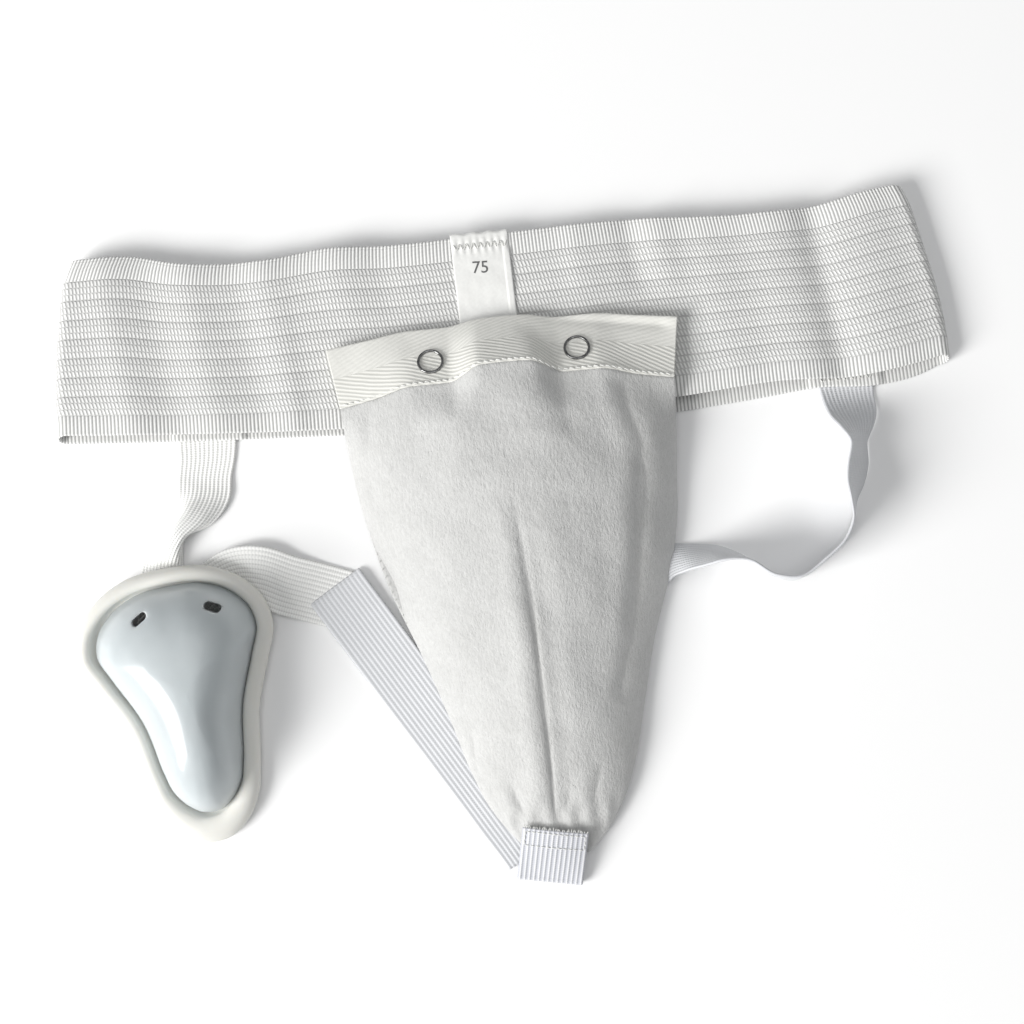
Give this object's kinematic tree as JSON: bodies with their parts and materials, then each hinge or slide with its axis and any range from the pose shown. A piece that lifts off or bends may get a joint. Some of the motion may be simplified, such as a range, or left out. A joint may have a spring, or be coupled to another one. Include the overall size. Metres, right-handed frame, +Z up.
{
  "type": "groin protector",
  "caption": "Boxing groin protector: wide elastic waistband, snap-closed fleece pouch, two elastic leg straps and a loose hard cup with a soft rim.",
  "frame": {"origin": "on the table under the middle of the laid-out protector", "axes": "+X along the waistband, +Y from the pouch tip to the waistband, +Z up from the table"},
  "size_m": [0.3782, 0.282, 0.0369],
  "materials": {
    "band_elastic": "ribbed white knitted elastic",
    "leg_elastic": "fine ribbed white elastic webbing",
    "label_satin": "smooth white satin ribbon",
    "thread": "white polyester thread",
    "fleece": "brushed white cotton fleece",
    "twill_tape": "off-white herringbone twill tape",
    "snap_metal": "plated",
    "cup_plastic": "glossy translucent blue-grey",
    "rim_rubber": "matte off-white"
  },
  "bodies": {
    "garment": {"waistband": "band_elastic", "size_label": "label_satin", "label_stitches": "thread", "pouch_front_panel": "fleece", "pouch_back_panel": "fleece", "pouch_seam_stitches": "thread", "header_tape_back": "twill_tape", "back_tape_stitches": "thread", "snap_stud_left": "snap_metal", "snap_stud_right": "snap_metal", "snap_back_ring_left": "snap_metal", "snap_back_ring_right": "snap_metal", "leg_strap_left": "leg_elastic", "leg_strap_right": "leg_elastic", "strap_tack_left": "thread", "strap_tack_right": "thread", "crotch_tab": "leg_elastic", "tab_stitches": "thread"},
    "header": {"header_tape_front": "twill_tape", "header_stitches": "thread", "snap_ring_left": "snap_metal", "snap_ring_right": "snap_metal", "snap_socket_left": "snap_metal", "snap_socket_right": "snap_metal"},
    "cup": {"cup_shell": "cup_plastic", "cup_rim": "rim_rubber"}
  },
  "joints": [
    {"name": "header_open", "type": "hinge", "parent": "garment", "child": "header", "pos_m": [0.001, 0.0641, 0.0259], "axis": [1, 0, 0], "range_deg": [0, 95]},
    {"name": "cup_lift", "type": "slide", "parent": "garment", "child": "cup", "axis": [0, 0, 1], "range_m": [0, 0.12]}
  ]
}
